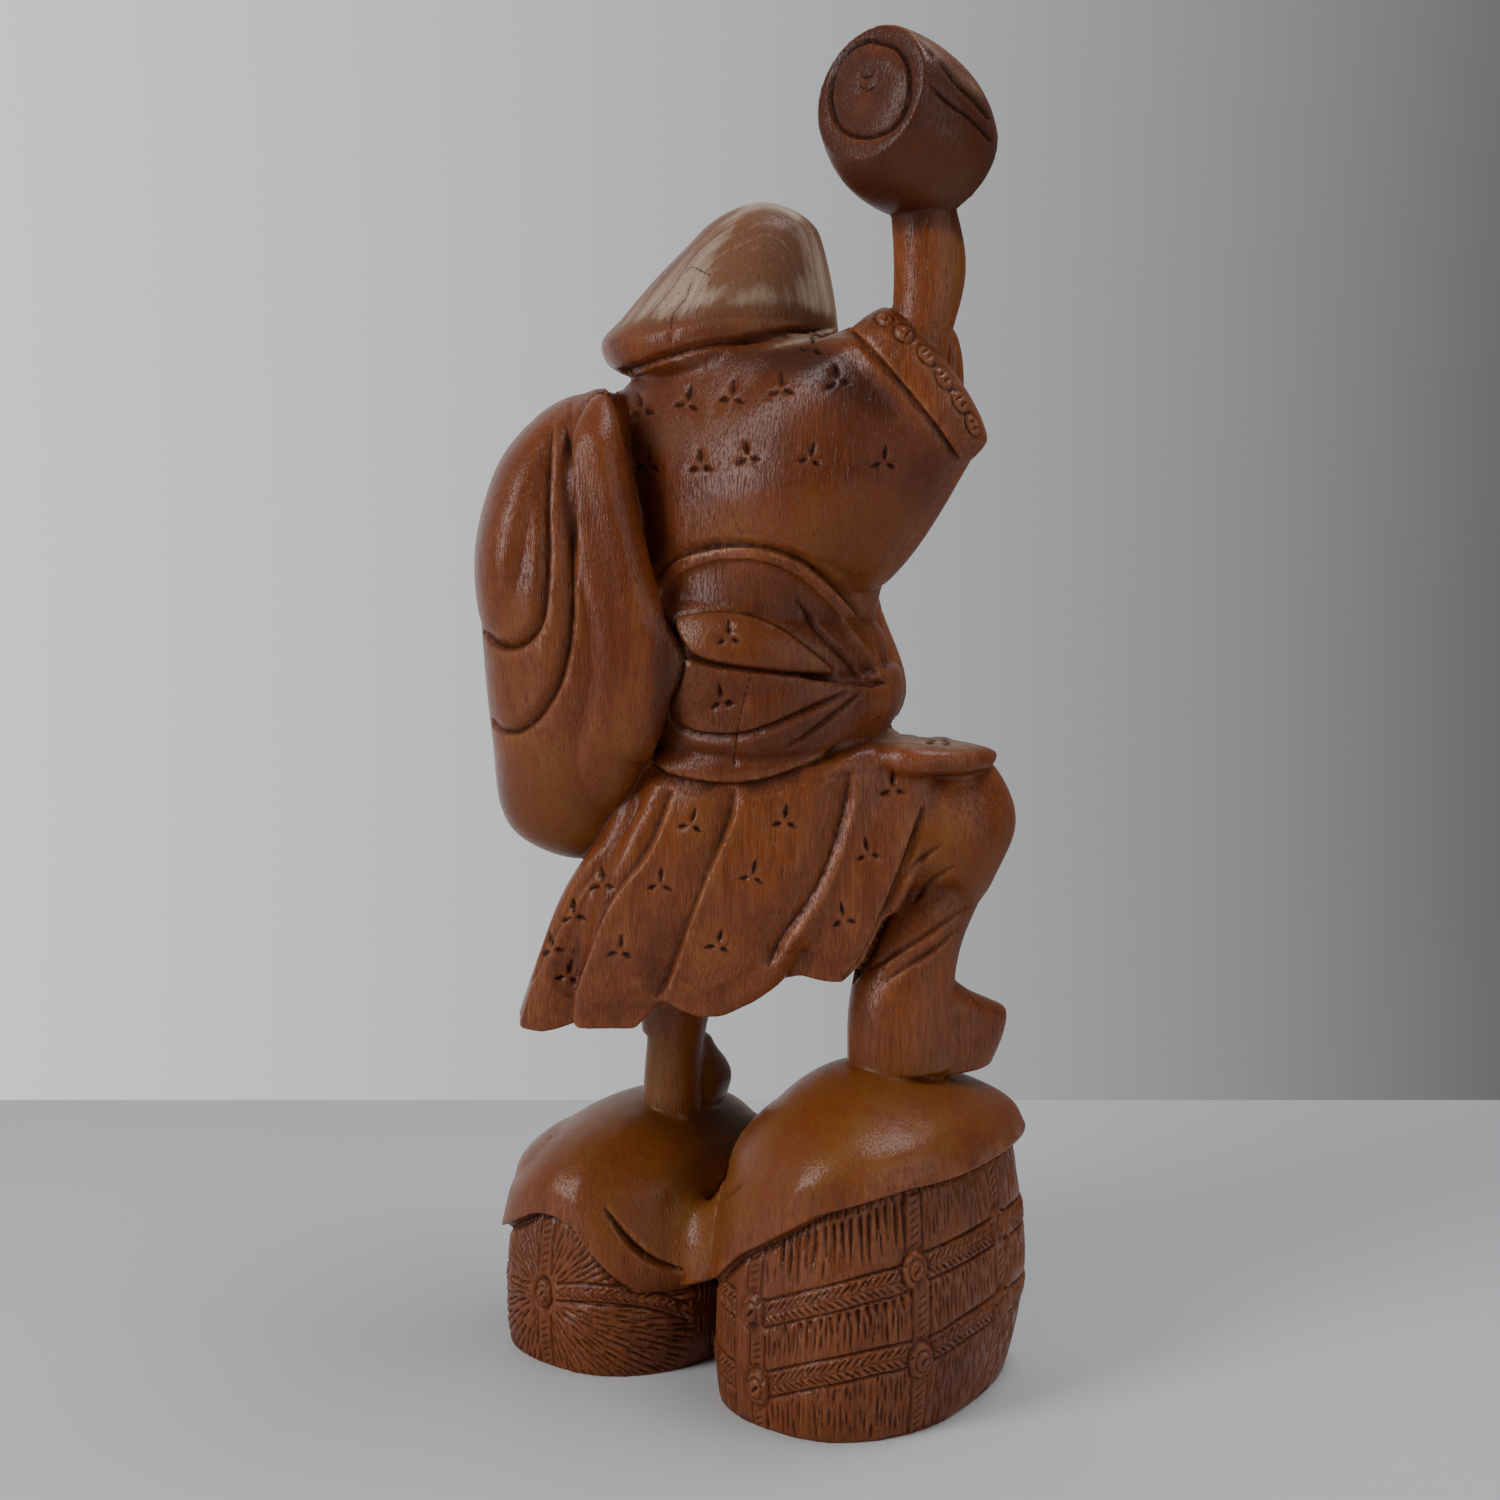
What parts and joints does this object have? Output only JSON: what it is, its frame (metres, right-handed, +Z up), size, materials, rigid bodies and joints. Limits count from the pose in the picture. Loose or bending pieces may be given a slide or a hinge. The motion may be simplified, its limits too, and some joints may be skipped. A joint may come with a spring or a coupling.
{
  "type": "carved wooden daikoku figure",
  "caption": "Carved wooden figure of a stout, robed and hooded fortune god with raised mallet and shouldered sack, standing on cloth-covered straw bales.",
  "frame": {"origin": "centre of the bounding box on the floor, under the bales", "axes": "+Z up; the chest faces -Y, and the figure's right side, with the raised mallet, is towards -X"},
  "size_m": [0.243, 0.1912, 0.5921],
  "materials": {
    "stained_wood": "reddish-brown stain under a worn satin polish"
  },
  "bodies": {
    "root": {"daikoku_figure": "stained_wood"}
  },
  "joints": []
}
